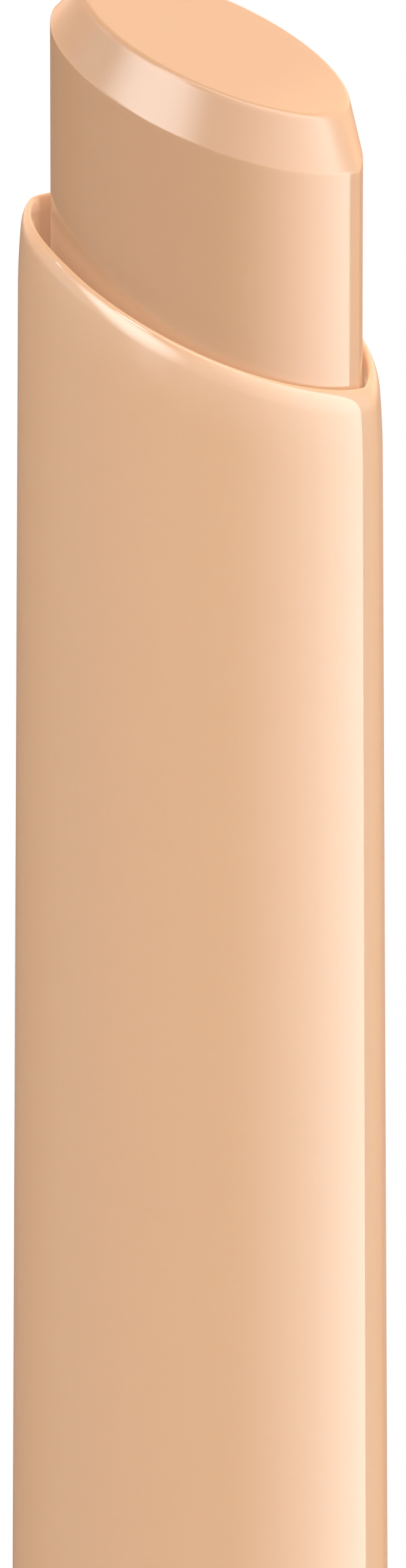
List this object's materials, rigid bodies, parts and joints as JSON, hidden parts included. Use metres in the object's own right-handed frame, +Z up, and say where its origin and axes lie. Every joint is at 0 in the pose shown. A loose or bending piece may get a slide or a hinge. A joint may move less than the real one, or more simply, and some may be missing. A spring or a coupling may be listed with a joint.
{
  "type": "concealer stick",
  "caption": "Twist-up concealer stick with a slanted, bevelled bullet in a slim lens-shaped body; turning the base knob raises or lowers the bullet.",
  "frame": {"origin": "centre of the base's flat underside", "axes": "+Z up along the stick, +X towards the low end of the slanted mouth, +Y across the thin side"},
  "size_m": [0.0162, 0.0136, 0.0817],
  "materials": {
    "body": "high gloss, peach",
    "knob": "high gloss, peach",
    "bullet": "cast wax, satin",
    "carrier": "natural moulded",
    "sleeve": "natural moulded",
    "bushing": "natural moulded",
    "ring": "smooth silicone"
  },
  "bodies": {
    "body": {"body_shell": "body", "guide_bushing": "bushing"},
    "knob": {"twist_knob": "knob", "drive_sleeve": "sleeve", "friction_ring": "ring"},
    "carrier": {"bullet_carrier": "carrier", "concealer_bullet": "bullet"}
  },
  "joints": [
    {"name": "knob_twist", "type": "hinge", "parent": "body", "child": "knob", "pos_m": [0, 0, 0], "axis": [0, 0, 1], "range_deg": [-1500, 1560]},
    {"name": "bullet_slide", "type": "slide", "parent": "body", "child": "carrier", "axis": [0, 0, 1], "range_m": [-0.0125, 0.013]}
  ],
  "couplings": [
    {"joint": "bullet_slide", "follows": "knob_twist", "m_per_rad": 0.00047746}
  ]
}
